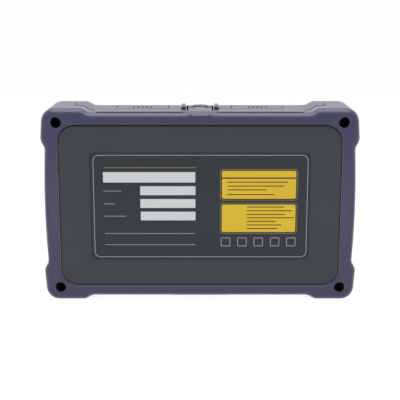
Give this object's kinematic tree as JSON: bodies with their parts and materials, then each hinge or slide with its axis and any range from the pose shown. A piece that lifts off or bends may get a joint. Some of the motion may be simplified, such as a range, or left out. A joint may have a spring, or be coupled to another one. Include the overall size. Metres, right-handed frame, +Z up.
{
  "type": "optical time domain reflectometer",
  "caption": "Handheld fibre tester in a rubber boot with corner bumps, hinged port covers, torch, touch display and keypad.",
  "frame": {"origin": "middle of the bottom, at the level of the lower corner bumps", "axes": "+Z up to the port side, -Y out of the display, +X to the right of a user facing the display"},
  "size_m": [0.1746, 0.041, 0.1083],
  "materials": {
    "boot_rubber": "fine matt, soft touch",
    "case_plastic": "fine spark texture",
    "front_plastic": "fine spark texture",
    "label_film": "satin film",
    "seal_rubber": "matt",
    "dark_steel": "blackened",
    "bright_steel": "satin",
    "brass": "plain",
    "nickel": "satin plated",
    "ceramic": "polished",
    "cover_glass": "polished, dark behind",
    "lens_glass": "polished",
    "display": "polished",
    "key_plastic": "fine matt",
    "power_key": "fine matt",
    "ok_key": "fine matt",
    "board_green": "solder mask",
    "can_metal": "drawn",
    "engine_metal": "anodised",
    "spool_plastic": "plain",
    "fibre": "coated",
    "battery_film": "film",
    "foam": "foam",
    "flex_film": "film",
    "bezel_plastic": "satin",
    "pipe_clear": "satin"
  },
  "bodies": {
    "case": {"rubber_boot": "boot_rubber", "rear_shell": "case_plastic", "front_shell": "front_plastic", "shell_gasket": "seal_rubber", "rear_label": "label_film", "case_screws": "dark_steel", "screw_inserts": "brass", "touch_glass": "cover_glass", "glass_gasket": "seal_rubber", "lcd_module": "display", "lcd_frame": "bright_steel", "lcd_frame_screws": "bright_steel", "key_board_screws": "bright_steel", "key_board": "board_green", "key_switches": "bright_steel", "light_pipes": "pipe_clear", "main_board": "board_green", "board_screws": "bright_steel", "shield_cans": "can_metal", "optical_engine": "engine_metal", "fibre_spool": "spool_plastic", "fibre_coil": "fibre", "buzzer": "seal_rubber", "display_flex": "flex_film", "battery_pad": "foam", "battery_pack": "battery_film", "optical_port_plate": "engine_metal", "data_port_plate": "engine_metal", "power_meter_port": "nickel", "reflectometer_port": "nickel", "fault_locator_port": "nickel", "port_sleeves": "ceramic", "usb_a_socket": "bright_steel", "usb_c_socket": "bright_steel", "torch_bezel": "bezel_plastic", "torch_lens": "lens_glass", "torch_board": "board_green", "cover_hinge_pins": "bright_steel"},
    "left_cover": {"left_port_cover": "boot_rubber"},
    "right_cover": {"right_port_cover": "boot_rubber"},
    "key_up": {"key_up": "key_plastic"},
    "key_down": {"key_down": "key_plastic"},
    "key_left": {"key_left": "key_plastic"},
    "key_right": {"key_right": "key_plastic"},
    "key_ok": {"key_ok": "ok_key"},
    "key_back": {"key_back": "key_plastic"},
    "key_menu": {"key_menu": "key_plastic"},
    "key_power": {"key_power": "power_key"},
    "key_test": {"key_test": "key_plastic"}
  },
  "joints": [
    {"name": "left_cover_hinge", "type": "hinge", "parent": "case", "child": "left_cover", "pos_m": [-0.0687, 0, 0.1071], "axis": [0, -1, 0], "range_deg": [0, 90]},
    {"name": "right_cover_hinge", "type": "hinge", "parent": "case", "child": "right_cover", "pos_m": [0.0687, 0, 0.1071], "axis": [0, 1, 0], "range_deg": [0, 90]},
    {"name": "key_up_press", "type": "slide", "parent": "case", "child": "key_up", "axis": [0, 1, 0], "range_m": [0, 0.0005], "stiffness_N_per_m": 2000},
    {"name": "key_down_press", "type": "slide", "parent": "case", "child": "key_down", "axis": [0, 1, 0], "range_m": [0, 0.0005], "stiffness_N_per_m": 2000},
    {"name": "key_left_press", "type": "slide", "parent": "case", "child": "key_left", "axis": [0, 1, 0], "range_m": [0, 0.0005], "stiffness_N_per_m": 2000},
    {"name": "key_right_press", "type": "slide", "parent": "case", "child": "key_right", "axis": [0, 1, 0], "range_m": [0, 0.0005], "stiffness_N_per_m": 2000},
    {"name": "key_ok_press", "type": "slide", "parent": "case", "child": "key_ok", "axis": [0, 1, 0], "range_m": [0, 0.0005], "stiffness_N_per_m": 2000},
    {"name": "key_back_press", "type": "slide", "parent": "case", "child": "key_back", "axis": [0, 1, 0], "range_m": [0, 0.0005], "stiffness_N_per_m": 2000},
    {"name": "key_menu_press", "type": "slide", "parent": "case", "child": "key_menu", "axis": [0, 1, 0], "range_m": [0, 0.0005], "stiffness_N_per_m": 2000},
    {"name": "key_power_press", "type": "slide", "parent": "case", "child": "key_power", "axis": [0, 1, 0], "range_m": [0, 0.0005], "stiffness_N_per_m": 2000},
    {"name": "key_test_press", "type": "slide", "parent": "case", "child": "key_test", "axis": [0, 1, 0], "range_m": [0, 0.0005], "stiffness_N_per_m": 2000}
  ]
}
